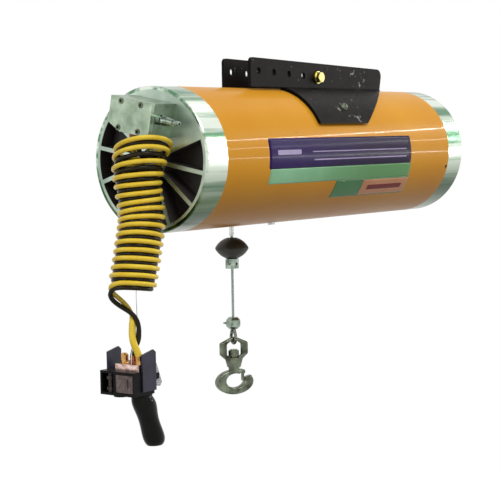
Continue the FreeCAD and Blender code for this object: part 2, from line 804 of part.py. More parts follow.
def make_hook():
    """The bowl is the ring between two ovals, open at the throat, under a turned shank."""
    nut_low = bail_floor + free_gap
    nut = carve(hexagon(swivel_flats, swivel_height), [rod(shank_radius + slip, swivel_height)])
    hung("swivel_nut", nut, z=nut_low)
    shoulder_top = boss_low - free_gap
    bowl_z = shoulder_top - 5 - hook_half_height
    throat = Vector(1, 2.5, 0)
    flat_wires = []
    for wide, tall in ((hook_half_width, hook_half_height), (throat_half_width, throat_half_height)):
        oval = Part.Ellipse(Vector(0, 0, 0), wide, tall).toShape()
        flat_wires.append(Part.Face(Part.Wire([oval])))
    deep = Vector(0, 0, float(hook_thickness))
    outer, inner = flat_wires
    inner.translate(throat)
    bowl = outer.extrude(deep).cut(inner.extrude(deep))
    reach = 2 * hook_half_width
    corners = [Vector(0, 0, 0)]
    for turn in (throat_low_angle, 35, throat_high_angle):
        corners.append(Vector(reach * math.cos(math.radians(turn)), reach * math.sin(math.radians(turn)), 0))
    wedge = Part.Face(Part.makePolygon(corners + corners[:1]))
    wedge.translate(Vector(0, throat.y, 0))
    bowl = bowl.cut(wedge.extrude(deep))
    bowl = bowl.makeFillet(hook_rounding, [edge for edge in bowl.Edges if edge.BoundBox.ZLength < 0.1])
    bowl.translate(Vector(0, 0, -float(hook_thickness) / 2))
    bowl.rotate(Vector(0, 0, 0), ALONG_X, 90)
    bowl.translate(Vector(0, 0, float(bowl_z)))
    shank_top = nut_low + swivel_height + 2
    shank = rod(shank_radius, shank_top - shoulder_top + 1, (0, 0, shoulder_top - 1))
    neck = rod(neck_radius, neck_length, (0, 0, shoulder_top - neck_length))
    lug = rod(latch_lug, latch_gap * 2, (latch_x, latch_gap, latch_z), (0, -1, 0))
    reach_out = latch_gap + free_gap + latch_cheek
    pin = rod(latch_pin, reach_out * 2, (latch_x, reach_out, latch_z), (0, -1, 0))
    tools = []
    for side in (1, -1):
        start = (latch_x, side * latch_gap, latch_z)
        tools.append(rod(latch_lug + 0.5, hook_thickness, start, (0, side, 0)))
    hung("hook", join([carve(join([shaped(bowl), shank, neck, lug]), tools), pin]))
    make_latch()


def make_latch():
    low = -18.0
    front, back = -0.3, 1.7
    near = latch_gap + free_gap
    far = near + latch_cheek
    parts = [block((front, -far, low), (back, far, -latch_lug - 1))]
    for side in (1, -1):
        parts.append(rod(latch_lug, latch_cheek, (0, side * near, 0), (0, side, 0)))
        edges = sorted((side * near, side * far))
        parts.append(block((front, edges[0], low), (back, edges[1], 0)))
    hole = rod(latch_pin + slip, far * 2, (0, far, 0), (0, -1, 0))
    hung("latch", carve(join(parts), [hole]), x=latch_x, z=latch_z)


# Suspension bracket
def make_rail(label, side):
    """A bent plate, with an upright rail and a wing along the barrel's side. Gives back its screw."""
    inner = barrel_radius + free_gap
    outer = inner + plate_thickness
    wing_end = 24.0
    over_inner = root(inner * inner - rail_inner * rail_inner)
    over_outer = root(outer * outer - rail_outer * rail_outer)
    top = rail_top_left + 6
    body = new_body()
    centre = (0.0, 0.0)
    section = outline(body, "YZ_Plane", [
        (side * rail_outer, top),
        (side * rail_inner, top),
        (side * rail_inner, over_inner),
        (side * (inner * cosine(wing_end)), inner * sine(wing_end)),
        (side * (outer * cosine(wing_end)), outer * sine(wing_end)),
        (side * rail_outer, over_outer)], {2: (centre, -side), 4: (centre, side)}, rail_left)
    pad(body, section, rail_right - rail_left)
    mask = new_body()
    bend = math.degrees(math.asin(over_outer / outer))
    low = math.degrees(math.asin(wing_low / outer))
    steps = 5
    edge = []
    for step in range(steps + 1):
        angle = bend + (low - bend) * step / steps
        run = math.radians(bend - angle) * outer
        edge.append((rail_right - edge_taper - run * edge_lean, outer * sine(angle)))
    sides = outline(mask, "XZ_Plane", [(rail_left, rail_top_left), (rail_right, rail_top_right)] + edge + [
        (wing_left, wing_low), (wing_left, rail_foot), (rail_left, rail_foot)])
    feature = pad(mask, sides, barrel_radius * 4, middle=True)
    corners = [((rail_left, rail_top_left), 8.0), ((rail_right, rail_top_right), 14.0), (edge[-1], 12.0)]
    for corner, radius in corners:
        feature = round_edges(mask, feature, radius, lambda edge: edge.BoundBox.YLength > 1
                              and math.hypot(edge.Vertexes[0].X - corner[0],
                                             edge.Vertexes[0].Z - corner[1]) < 0.1)
    tools = [rod(bolt_radius + slip, barrel_radius * 2, (bolt_x, -barrel_radius, bolt_z), (0, 1, 0)),
             rod(lug_shank + slip, barrel_radius * 2, (lug_x, 0, 0), radial(lug_angle, side))]
    for number in range(1, 5):
        place = (bolt_x - hole_pitch * number, -barrel_radius, bolt_z + hole_rise * number)
        tools.append(rod(hole_radius, barrel_radius * 2, place, (0, 1, 0)))
    piece(label, carve(shared(body, mask), tools))
    shank = outer - bore_radius - free_gap
    screw = carve(join([cone(lug_radius, lug_radius - 2, 4.5), rod(lug_shank, shank, (0, 0, -shank))]),
                  [hexagon(5, 3, (0, 0, 2))])
    return piece("screw", screw, on_barrel(lug_x, lug_angle, side, outer), towards(radial(lug_angle, side)))


def bolt_head_shape(flats, height):
    """A hexagon with its outer corners turned off."""
    far = flats * 0.475
    return shared(hexagon(flats, height), cone(far + height * 1.732, far, height))


def make_bracket():
    grouped("lug_screws", [make_rail("bracket_front", -1), make_rail("bracket_rear", 1)])
    nut_height = 10.0
    seat = rail_outer + washer_thickness
    washer = ring(washer_radius, bolt_radius + slip, washer_thickness, (0, 0, 0), (0, 1, 0))
    piece("hanger_washer", washer, (bolt_x, -seat, bolt_z))
    shank = seat * 2 + nut_height + 3
    bolt = join([bolt_head_shape(bolt_flats, bolt_head), rod(bolt_radius, shank, (0, 0, -shank))])
    piece("hanger_bolt", bolt, (bolt_x, -seat, bolt_z), towards((0, -1, 0)))
    nut = carve(join([bolt_head_shape(bolt_flats, nut_height), rod(washer_radius, washer_thickness)]),
                [rod(bolt_radius + slip, nut_height)])
    piece("hanger_nut", nut, (bolt_x, rail_outer, bolt_z), towards((0, 1, 0)))
    spacer = ring(spacer_radius, bolt_radius + slip, rail_gap, (0, 0, 0), (0, 1, 0))
    piece("hanger_spacer", spacer, (bolt_x, -rail_inner, bolt_z))


# Valve manifold on the left cap
def mounted(label, thing, x=0.0, across=0.0, up=0.0, direction=(0, 0, 1)):
    """Place a manifold piece from the middle of its seat on the left cap."""
    side, height = manifold_across + across, manifold_up + up
    lean_cos, lean_sin = cosine(cap_turn), sine(cap_turn)
    base = (face_left + x, side * lean_cos - height * lean_sin, side * lean_sin + height * lean_cos)
    return piece(label, thing, base, Rotation(ALONG_X, cap_turn) * towards(direction))


def manifold_block(depth, start):
    body = new_body()
    wide, tall = manifold_width / 2, manifold_height / 2
    face = outline(body, "YZ_Plane", [
        (-wide, -tall), (wide - cover_cut_across, -tall), (wide, -tall + cover_cut_up),
        (wide, tall), (-wide, tall)], None, start)
    feature = pad(body, face, depth, reverse=True)
    near_face = float(start) - float(depth) + 0.01
    round_edges(body, feature, 1.2, lambda edge: edge.BoundBox.XMax < near_face)
    return body


def make_manifold():
    screws = [(x_side * cover_screw_across / 2, z_side * cover_screw_up / 2)
              for x_side in (1, -1) for z_side in (1, -1)]
    sunk = 4.0
    depth = 12.0
    face = -(manifold_depth + cover_thickness)
    holes = []
    for across, up in screws:
        holes.append(rod(screw_shank + slip, depth, (-manifold_depth, across, up), (1, 0, 0)))
    mounted("manifold_body", carve(manifold_block(manifold_depth, 0.0), holes))
    holes = []
    for across, up in screws:
        holes.append(rod(screw_shank + slip, cover_thickness, (face, across, up), (1, 0, 0)))
        holes.append(rod(screw_head + slip, sunk, (face, across, up), (1, 0, 0)))
    mounted("manifold_cover", carve(manifold_block(cover_thickness, -manifold_depth), holes))
    head = screw_head
    fitted = []
    for across, up in screws:
        shank = depth + cover_thickness - sunk - 1
        screw = carve(join([rod(head, head), rod(screw_shank, shank, (0, 0, -shank))]),
                      [hexagon(5, 3, (0, 0, head - 3))])
        fitted.append(mounted("screw", screw, face + sunk, across, up, (-1, 0, 0)))
    grouped("cover_screws", fitted)
    make_inlet()
    low = -manifold_height / 2
    for label, x, across in (("hose_fitting_yellow", yellow_fitting_x, yellow_fitting_across),
                             ("hose_fitting_black", black_fitting_x, black_fitting_across)):
        fitting = join([hexagon(13, 7, (0, 0, 0)), rod(6.5, 3, (0, 0, 7)),
                        rod(5.5, fitting_length - 10, (0, 0, 10))])
        mounted(label, fitting, x, across, low, (0, 0, -1))


def make_inlet():
    side = -manifold_width / 2
    parts = [rod(9, 10), rod(7, 4, (0, 0, 10)), cone(8.5, 5, 20, (0, 0, 14)), rod(3.5, 8, (0, 0, 34)),
             rod(4.2, 7, (0, 0, 40))]
    fitting = carve(join(parts), [rod(inlet_bore, 40, (0, 0, 7))])
    mounted("inlet_fitting", fitting, inlet_x, side, inlet_up, (0, -1, 0))


# Hoses and wires
def run_path(points):
    """Straight runs joined by tangent arcs that use up less than half of the shorter run."""
    share = 0.45
    spots = [Vector(*[float(value) for value in point]) for point in points]
    edges = []
    at = spots[0]
    for before, corner, after in zip(spots, spots[1:], spots[2:]):
        arriving, leaving = (corner - before), (after - corner)
        trim = share * min(arriving.Length, leaving.Length)
        arriving.normalize()
        leaving.normalize()
        half_turn = arriving.getAngle(leaving) / 2
        radius = trim / math.tan(half_turn)
        start, end = corner - arriving * trim, corner + leaving * trim
        inward = leaving - arriving
        inward.normalize()
        middle = corner + inward * (radius / math.cos(half_turn) - radius)
        edges.append(Part.LineSegment(at, start).toShape())
        edges.append(Part.Arc(start, middle, end).toShape())
        at = end
    edges.append(Part.LineSegment(at, spots[-1]).toShape())
    return Part.Wire(edges)


def tube(points, radius):
    path = run_path(points)
    first = path.Edges[0]
    start = first.Vertexes[0].Point
    along = first.Vertexes[1].Point - start
    circle = Part.Wire([Part.Circle(start, along, float(radius)).toShape()])
    solid = path.makePipeShell([circle], True, False)
    wanted = math.pi * float(radius) ** 2 * path.Length
    if abs(solid.Volume - wanted) > wanted * 0.01:
        raise RuntimeError("a tube does not have the volume of its run")
    return solid


def between(solid, low, high):
    """The piece of a solid between two levels."""
    around = 1000.0
    slab = Part.makeBox(2 * around, 2 * around, high - low, Vector(-around, -around, low))
    return solid.common(slab)


def make_hoses():
    """Two twisted hoses: the coil is held as one thick tube, its tails and the wire are single."""
    coil_low = float(coil_bottom)
    above = 200.0
    fitting_top = float(head_z + block_height + fitting_length)
    coil = tube(coil_route, coil_radius)
    piece("hose_coil", shaped(between(coil, coil_low, above)))
    for label, route in (("hose_black", black_route), ("hose_yellow", yellow_route)):
        piece(label, shaped(between(tube(route, hose_radius), fitting_top, coil_low)))
    wire = between(tube(wire_route, wire_radius), float(head_z + block_height), coil_low)
    piece("safety_wire", shaped(wire))


# Pendant control
def held(label, thing, x=0.0, y=0.0, z=0.0, direction=(0, 0, 1)):
    """Place a pendant piece from the top front middle of its head."""
    return piece(label, thing, (head_x + x, head_y + y, head_z + z), towards(direction))


def make_head():
    side = head_width / 2
    window_depth, plate_depth = 18.0, 4.0
    lugs = []
    lug_out, lug_tall = 13.0, 5.0
    for near, far in ((lever_high + free_gap, lever_high + 4), (-side, lever_low - free_gap)):
        lugs.append(block((head_depth - 1, near, lever_z - lug_tall),
                          (head_depth + lug_out, far, lever_z + lug_tall)))
    collar_oval = Part.Face(Part.Wire([Part.Ellipse(Vector(0, 0, 0), collar_deep, collar_wide).toShape()]))
    collar = collar_oval.extrude(Vector(0, 0, float(-head_height - grip_top)))
    collar.translate(Vector(float(grip_x), float(grip_y), float(grip_top)))
    cap = rod(exhaust_radius, 4, (20, 8, -head_height - 4))
    body = join([block((0, -side, -head_height), (head_depth, side, 0)), shaped(collar), cap] + lugs)
    tools = [block((0, window_near, -36), (window_depth, window_far, -4)),
             block((0, plate_near, plate_low), (plate_depth, plate_far, plate_high))]
    pin_end = lever_high + 4
    pin = rod(lever_pin, pin_end + side, (lever_x, pin_end, lever_z), (0, -1, 0))
    held("handle_head", join([carve(body, tools), pin]))
    spool_x, spool_y = 9.0, (window_near + window_far) / 2
    spool = join([rod(5, 32), rod(7.5, 5, (0, 0, 4)), rod(7.5, 5, (0, 0, 22))])
    held("valve_spool", spool, spool_x, spool_y, -36)
    wide, tall = plate_far - plate_near - 1, plate_high - plate_low - 1
    plate = join([block((0, 0, 0), (3, wide, tall)),
                  block((-1.5, wide / 2 - 8, tall / 2 - 8), (0, wide / 2 + 8, tall / 2 + 8))])
    held("valve_plate", plate, plate_depth - 3, plate_near + 0.5, plate_low + 0.5)
    held("valve_block", block((0, 0, 0), (24, 50, block_height)), 14, -35)
    muffler = join([hexagon(12, 5), rod(6.5, 9, (0, 0, 5)), cone(6.5, 3.5, 3, (0, 0, 14))])
    held("muffler", muffler, 26, 4.5, block_height)
    for label, x, y in (("pendant_fitting_black", 26, -14), ("pendant_fitting_yellow", 24, -28)):
        fitting = join([hexagon(12, 6), rod(5.5, fitting_length - 6, (0, 0, 6))])
        held(label, fitting, x, y, block_height)
    ear_outline = [(20.0, -34.0), (20.0, 28.0), (48.0, 34.0), (54.0, 29.0), (54.0, -34.0)]
    for label, y in (("ear_left", side + ear_thickness), ("ear_right", -side)):
        body = new_body()
        pad(body, outline(body, "XZ_Plane", ear_outline), ear_thickness)
        held(label, body, 0, y, 0)


def make_lever():
    body = new_body()
    profile = outline(body, "XZ_Plane", [
        (-5.0, 18.0), (2.0, 21.0), (15.0, -12.0), (10.0, -19.0), (-5.0, -16.0)])
    pad(body, profile, lever_high - lever_low)
    hole = rod(lever_pin + slip, 80, (0, 0, 0), (0, -1, 0))
    held("thumb_lever", carve(body, [hole]), lever_x, lever_high, lever_z)


def make_grip():
    """A hand grip lofted through ovals, which leans back under the head."""
    ovals = [(0.0, 0.0, 0.94, 0.86), (0.42, 0.38, 1.0, 0.94), (0.84, 0.76, 1.0, 1.0),
             (0.97, 0.91, 0.95, 0.95), (1.0, 1.0, 0.72, 0.70)]
    wires = []
    for lean, drop, deep, wide in ovals:
        middle = Vector(float(grip_x + grip_lean * lean), 0, float(-grip_length * drop))
        oval = Part.Ellipse(middle, float(grip_deep * deep), float(grip_wide * wide))
        wires.append(Part.Wire([oval.toShape()]))
    held("hand_grip", shaped(Part.makeLoft(wires, True, False)), 0, grip_y, grip_top)


make_barrel()
make_caps()
make_plugs()
make_screw()
make_reel()
make_piston()
make_rope()
make_bail()
make_hook()
make_bracket()
make_manifold()
make_hoses()
make_head()
make_lever()
make_grip()
doc.recompute()

for thing in doc.Objects:
    if "Invalid" in thing.State or "Error" in thing.State:
        raise RuntimeError("not worked out: " + thing.Label)
for thing in pieces:
    wanted = len(thing.Links) if thing.TypeId == "Part::Compound" else 1
    if thing.Shape.isNull() or not thing.Shape.isValid() or len(thing.Shape.Solids) != wanted:
        raise RuntimeError("not sound: " + thing.Label)

os.makedirs("parts", exist_ok=True)
for thing in pieces:
    thing.Shape.exportStep("parts/%s.step" % thing.Label)
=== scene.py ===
import json
import math
import bpy
import bmesh
from mathutils import Matrix, Vector


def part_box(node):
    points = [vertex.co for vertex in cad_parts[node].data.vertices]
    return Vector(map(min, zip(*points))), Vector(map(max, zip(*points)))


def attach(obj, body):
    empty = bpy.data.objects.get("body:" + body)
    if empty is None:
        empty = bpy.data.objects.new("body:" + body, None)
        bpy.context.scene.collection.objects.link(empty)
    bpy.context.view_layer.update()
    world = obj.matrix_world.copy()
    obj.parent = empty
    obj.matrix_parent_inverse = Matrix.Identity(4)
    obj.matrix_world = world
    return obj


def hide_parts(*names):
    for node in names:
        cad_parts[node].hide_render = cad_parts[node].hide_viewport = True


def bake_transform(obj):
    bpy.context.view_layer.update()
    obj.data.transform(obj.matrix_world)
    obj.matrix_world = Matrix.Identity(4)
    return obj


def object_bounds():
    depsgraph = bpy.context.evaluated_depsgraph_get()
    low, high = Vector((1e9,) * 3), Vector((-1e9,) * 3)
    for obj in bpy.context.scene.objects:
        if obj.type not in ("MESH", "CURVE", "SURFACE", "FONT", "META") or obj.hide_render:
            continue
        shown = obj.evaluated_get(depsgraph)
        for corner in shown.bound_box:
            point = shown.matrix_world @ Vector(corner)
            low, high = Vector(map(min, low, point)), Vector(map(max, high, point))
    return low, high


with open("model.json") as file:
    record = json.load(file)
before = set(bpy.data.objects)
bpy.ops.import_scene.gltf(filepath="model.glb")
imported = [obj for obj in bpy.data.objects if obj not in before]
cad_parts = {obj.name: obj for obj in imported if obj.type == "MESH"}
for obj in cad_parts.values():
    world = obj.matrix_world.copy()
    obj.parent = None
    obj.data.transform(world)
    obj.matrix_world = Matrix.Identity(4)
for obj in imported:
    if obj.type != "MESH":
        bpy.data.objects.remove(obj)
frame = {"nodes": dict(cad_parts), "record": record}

cad_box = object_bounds()
MM = 0.001
# The barrel's middle in the part's frame, in millimetres
BARREL = Vector((17.5, 0.0, -149.0))


def at(point):
    """A point measured in millimetres from the barrel's middle, in metres in the part's frame."""
    return (Vector(point) + BARREL) * MM


# Camera: its place from the barrel's middle in millimetres, its angles in degrees, and its focal length
# and the picture's width in pixels
CAMERA_PLACE = (-2358.75, -1641.25, 38.75)
CAMERA_YAW, CAMERA_PITCH, CAMERA_ROLL = 36.63, -4.38, -1.0
FOCAL_PIXELS, PICTURE_PIXELS = 1496.0, 500.0
SENSOR_WIDTH = 36.0


def place_camera():
    yaw, pitch, roll = math.radians(CAMERA_YAW), math.radians(CAMERA_PITCH), math.radians(CAMERA_ROLL)
    ahead = Vector((math.cos(pitch) * math.cos(yaw), math.cos(pitch) * math.sin(yaw), math.sin(pitch)))
    right = Vector((math.sin(yaw), -math.cos(yaw), 0.0))
    up = right.cross(ahead)
    right = right * math.cos(roll) + up * math.sin(roll)
    up = right.cross(ahead)
    data = bpy.data.cameras.new("camera")
    data.sensor_width = SENSOR_WIDTH
    data.lens = SENSOR_WIDTH * FOCAL_PIXELS / PICTURE_PIXELS
    data.clip_end = 100.0
    camera = bpy.data.objects.new("camera", data)
    bpy.context.scene.collection.objects.link(camera)
    turn = Matrix((right, up, -ahead)).transposed()
    camera.matrix_world = Matrix.Translation(at(CAMERA_PLACE)) @ turn.to_4x4()
    bpy.context.scene.camera = camera


# Material building
class Nodes:
    """Short calls that add shader nodes to one material."""

    def __init__(self, name):
        self.material = bpy.data.materials.new(name)
        self.material.use_nodes = True
        self.tree = self.material.node_tree
        self.shader = self.tree.nodes["Principled BSDF"]
        self.coords = self.tree.nodes.new("ShaderNodeTexCoord").outputs["Object"]

    def link(self, value, socket):
        if isinstance(value, bpy.types.NodeSocket):
            self.tree.links.new(value, socket)
        else:
            socket.default_value = value

    def set(self, name, value):
        self.link(value, self.shader.inputs[name])

    def get(self, name):
        """The socket that feeds one of the shader's inputs."""
        return self.shader.inputs[name].links[0].from_socket

    def math(self, operation, first, second=0.0):
        node = self.tree.nodes.new("ShaderNodeMath")
        node.operation = operation
        self.link(first, node.inputs[0])
        self.link(second, node.inputs[1])
        return node.outputs[0]

    def add(self, first, second):
        return self.math("ADD", first, second)

    def times(self, first, second):
        return self.math("MULTIPLY", first, second)

    def less(self, first, second):
        return self.math("SUBTRACT", first, second)

    def noise(self, scale, detail=4.0, stretch=None, rough=0.5):
        node = self.tree.nodes.new("ShaderNodeTexNoise")
        node.inputs["Scale"].default_value = scale
        node.inputs["Detail"].default_value = detail
        node.inputs["Roughness"].default_value = rough
        self.link(self.stretched(stretch) if stretch else self.coords, node.inputs["Vector"])
        return node.outputs["Fac"]

    def stretched(self, scale):
        node = self.tree.nodes.new("ShaderNodeMapping")
        self.link(self.coords, node.inputs["Vector"])
        node.inputs["Scale"].default_value = scale
        return node.outputs[0]

    def ramp(self, value, low, high):
        """From 0 at low to 1 at high, and held outside them."""
        node = self.tree.nodes.new("ShaderNodeMapRange")
        self.link(value, node.inputs["Value"])
        node.inputs["From Min"].default_value = low
        node.inputs["From Max"].default_value = high
        return node.outputs["Result"]

    def mix(self, share, first, second):
        node = self.tree.nodes.new("ShaderNodeMix")
        node.data_type = "RGBA"
        self.link(share, node.inputs[0])
        self.link(first, node.inputs[6])
        self.link(second, node.inputs[7])
        return node.outputs[2]

    def split(self, vector):
        node = self.tree.nodes.new("ShaderNodeSeparateXYZ")
        self.link(vector, node.inputs[0])
        return node.outputs

    def distance(self, point):
        node = self.tree.nodes.new("ShaderNodeVectorMath")
        node.operation = "DISTANCE"
        self.link(self.coords, node.inputs[0])
        node.inputs[1].default_value = point
        return node.outputs["Value"]

    def bump(self, height, strength, distance=0.001):
        node = self.tree.nodes.new("ShaderNodeBump")
        node.inputs["Strength"].default_value = strength
        node.inputs["Distance"].default_value = distance
        self.link(height, node.inputs["Height"])
        self.link(node.outputs[0], self.shader.inputs["Normal"])


def rgb(red, green, blue):
    """A colour given as it shows on a screen, from 0 to 255."""
    def linear(part):
        part = part / 255.0
        return part / 12.92 if part <= 0.04045 else ((part + 0.055) / 1.055) ** 2.4
    return (linear(red), linear(green), linear(blue), 1.0)


def plain(name, colour, dark, rough, metal=0.0, coat=0.0, scale=60.0, grain=0.15, grain_scale=900.0,
          rough_spread=0.12, shine=0.5):
    """A finish with slow colour changes, uneven gloss and fine grain."""
    made = Nodes(name)
    slow = made.ramp(made.noise(scale, 5.0), 0.3, 0.7)
    made.set("Base Color", made.mix(slow, dark, colour))
    fine = made.noise(scale * 4.0, 3.0)
    made.set("Roughness", made.add(made.times(fine, rough_spread), rough - rough_spread / 2))
    made.set("Metallic", metal)
    made.set("Coat Weight", coat)
    made.set("Coat Roughness", 0.08)
    made.set("Specular IOR Level", shine)
    made.bump(made.noise(grain_scale, 2.0), grain, 0.0004)
    return made


# Heights in metres between which painted shade darkens the barrel's paint towards its underside
PAINTED_SHADE_HEIGHTS = (-0.165, -0.268)


def barrel_paint():
    """Glossy yellow-orange paint with painted shade low down, and fine rubbed lines along the barrel."""
    made = Nodes("barrel_paint")
    slow = made.ramp(made.noise(5.0, 3.0), 0.3, 0.7)
    colour = made.mix(slow, rgb(208, 141, 30), rgb(218, 154, 40))
    # Painted shade: the colour darkens towards the barrel's underside
    low = made.ramp(made.split(made.coords)[2], *PAINTED_SHADE_HEIGHTS)
    colour = made.mix(made.times(low, 0.55), colour, rgb(136, 82, 14))
    scratch = made.noise(160.0, 3.0, (0.15, 1.0, 1.0), 0.6)
    worn = made.ramp(scratch, 0.70, 0.76)
    made.set("Base Color", made.mix(made.times(worn, 0.35), colour, rgb(150, 98, 30)))
    made.set("Roughness", made.add(made.times(made.noise(30.0), 0.08), 0.30))
    made.set("Coat Weight", 0.10)
    made.set("Coat Roughness", 0.05)
    made.set("Specular IOR Level", 0.04)
    made.bump(made.noise(14.0, 2.0), 0.03, 0.0008)
    return made.material


# Each cap's open face along the barrel, and which way its pockets go in
CAP_FACES = {"left": (-428.5, 1.0), "right": (431.5, -1.0)}
# Where the caps' finishes change, in millimetres: the pockets' depth and radii, and the outer band's radius
POCKET_DEPTH, POCKET_INNER, POCKET_OUTER, BAND_INNER = 1.2, 33.2, 114.6, 119.0
# How far below the axis the band is in full shade
SHADE_DROP = 70.0
# How close the turning marks lie, in radians a metre
TURNING_MARKS = 5200.0


def cap_metal(side):
    """Turned metal with painted reflection streaks round its band and painted shade on the band below the
    axis, and a dark painted finish in the pockets.
    """
    face_x, inward = CAP_FACES[side]
    made = Nodes(side + "_cap_metal")
    x, y, z = made.split(made.coords)
    z = made.less(z, BARREL.z * MM)
    radius = made.math("SQRT", made.add(made.times(y, y), made.times(z, z)))
    depth = made.times(made.less(x, (face_x + BARREL.x) * MM), inward)
    inside = made.times(made.math("GREATER_THAN", depth, POCKET_DEPTH * MM),
                        made.math("LESS_THAN", radius, POCKET_OUTER * MM))
    pocket = made.times(inside, made.math("GREATER_THAN", radius, POCKET_INNER * MM))
    band = made.math("GREATER_THAN", radius, BAND_INNER * MM)
    # Painted reflections: light and dark streaks along the band stand in for reflected surroundings
    painted_reflection_streaks = made.ramp(made.noise(30.0, 3.0, (0.04, 1.0, 1.0), 0.55), 0.43, 0.57)
    slow = made.ramp(made.noise(14.0, 4.0), 0.3, 0.7)
    face = made.mix(slow, rgb(142, 160, 146), rgb(204, 218, 204))
    shade = made.ramp(z, 0.0, -SHADE_DROP * MM)
    lit = made.mix(painted_reflection_streaks, rgb(100, 142, 110), rgb(226, 236, 222))
    shaded = made.mix(painted_reflection_streaks, rgb(52, 74, 50), rgb(88, 108, 80))
    metal = made.mix(band, face, made.mix(shade, lit, shaded))
    dark = made.mix(made.noise(40.0), rgb(34, 30, 28), rgb(52, 46, 44))
    made.set("Base Color", made.mix(pocket, metal, dark))
    made.set("Metallic", made.less(1.0, pocket))
    gloss = made.add(made.times(made.noise(90.0), 0.10), 0.36)
    gloss = made.less(gloss, made.times(band, 0.20))
    made.set("Roughness", made.add(gloss, made.times(pocket, 0.20)))
    rings = made.math("SINE", made.times(radius, TURNING_MARKS))
    lines = made.math("SINE", made.times(x, TURNING_MARKS))
    made.bump(made.add(made.times(rings, 0.5), made.times(lines, 0.5)), 0.04, 0.0002)
    return made.material


# The lifting rope: its strands, the length in which a strand goes round once, the depth of the grooves
# between strands as a share of the rope's radius, and the mesh's rings and sides
ROPE_STRANDS, ROPE_LAY, ROPE_GROOVE = 6, 32.0 * MM, 0.12
ROPE_RING_STEP, ROPE_SIDES = 2.0 * MM, 36


def rope_steel():
    """Steel wire with painted shade between the strands that wind round the lifting rope."""
    made = Nodes("rope_strands")
    low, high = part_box("wire_rope")
    middle = (low + high) / 2
    x, y, z = made.split(made.coords)
    around = made.math("ARCTAN2", made.less(y, middle.y), made.less(x, middle.x))
    lay = made.add(made.times(around, float(ROPE_STRANDS)),
                   made.times(z, 2 * math.pi * ROPE_STRANDS / ROPE_LAY))
    # Painted shade: the colour darkens in the grooves between the strands
    strand_and_groove_shade = made.ramp(made.math("SINE", lay), -1.0, 0.6)
    made.set("Base Color", made.mix(strand_and_groove_shade, rgb(70, 76, 72), rgb(178, 186, 178)))
    made.set("Metallic", 0.9)
    made.set("Roughness", made.add(made.times(made.noise(300.0), 0.15), 0.34))
    made.bump(strand_and_groove_shade, 0.7, 0.0006)
    return made.material


def slanted_rope():
    """The same wire where it bends round the eye, with slanting strands and painted shade between them."""
    made = Nodes("rope_weave")
    node = made.tree.nodes.new("ShaderNodeTexWave")
    node.bands_direction = "DIAGONAL"
    node.inputs["Scale"].default_value = 190.0
    node.inputs["Distortion"].default_value = 0.6
    made.link(made.coords, node.inputs["Vector"])
    # Painted shade: the colour darkens between the slanting strands
    strand_and_groove_shade = made.ramp(node.outputs["Fac"], 0.1, 0.8)
    made.set("Base Color", made.mix(strand_and_groove_shade, rgb(44, 48, 42), rgb(146, 152, 140)))
    made.set("Metallic", 0.9)
    made.set("Roughness", 0.38)
    made.bump(strand_and_groove_shade, 0.6, 0.0006)
    return made.material


# Where the bracket's paint is chipped, from the barrel's middle, and how far a chipped spot reaches
WORN_SPOTS = ((113, -33, 159), (152, -33, 158), (189, -33, 153), (193, -33, 145), (185, -33, 137),
              (-2, -100, 85), (26, -93, 93), (50, -112, 68))
WORN_OUTER, WORN_INNER = 16.0, 3.0


def black_paint():
    """Black paint, rubbed thin, and chipped to bare metal at the rail's ends and on the wing."""
    made = Nodes("worn_black_paint")
    slow = made.ramp(made.noise(22.0, 5.0), 0.35, 0.7)
    colour = made.mix(slow, rgb(12, 9, 8), rgb(23, 20, 17))
    fine = made.noise(95.0, 6.0, None, 0.65)
    near = 0.0
    for spot in WORN_SPOTS:
        spot_share = made.ramp(made.distance(at(spot)), WORN_OUTER * MM, WORN_INNER * MM)
        near = made.math("MAXIMUM", near, spot_share)
    chips = made.ramp(made.add(fine, made.times(near, 0.12)), 0.66, 0.70)
    made.set("Base Color", made.mix(chips, colour, rgb(128, 124, 116)))
    made.set("Metallic", made.times(chips, 0.8))
    made.set("Roughness", made.add(made.times(made.noise(120.0), 0.2), 0.34))
    made.set("Specular IOR Level", 0.05)
    made.bump(made.noise(420.0, 3.0), 0.12, 0.0004)
    return made.material


# Metres from one ridge of the thumb lever to the next
RIDGE_STEP = 0.0034


def ridged_grey():
    """Pale grey plastic with fine grip ridges across it, and painted shade in the grooves between them."""
    made = plain("grey_plastic", rgb(204, 202, 208), rgb(176, 174, 180), 0.42)
    z = made.split(made.coords)[2]
    ridges_and_groove_shade = made.ramp(made.math("SINE", made.times(z, 2 * math.pi / RIDGE_STEP)), -0.6, 0.6)
    # Painted shade: the colour darkens in the grooves between the ridges
    made.set("Base Color", made.mix(ridges_and_groove_shade, rgb(158, 156, 164), made.get("Base Color")))
    made.bump(ridges_and_groove_shade, 0.4, 0.0005)
    return made


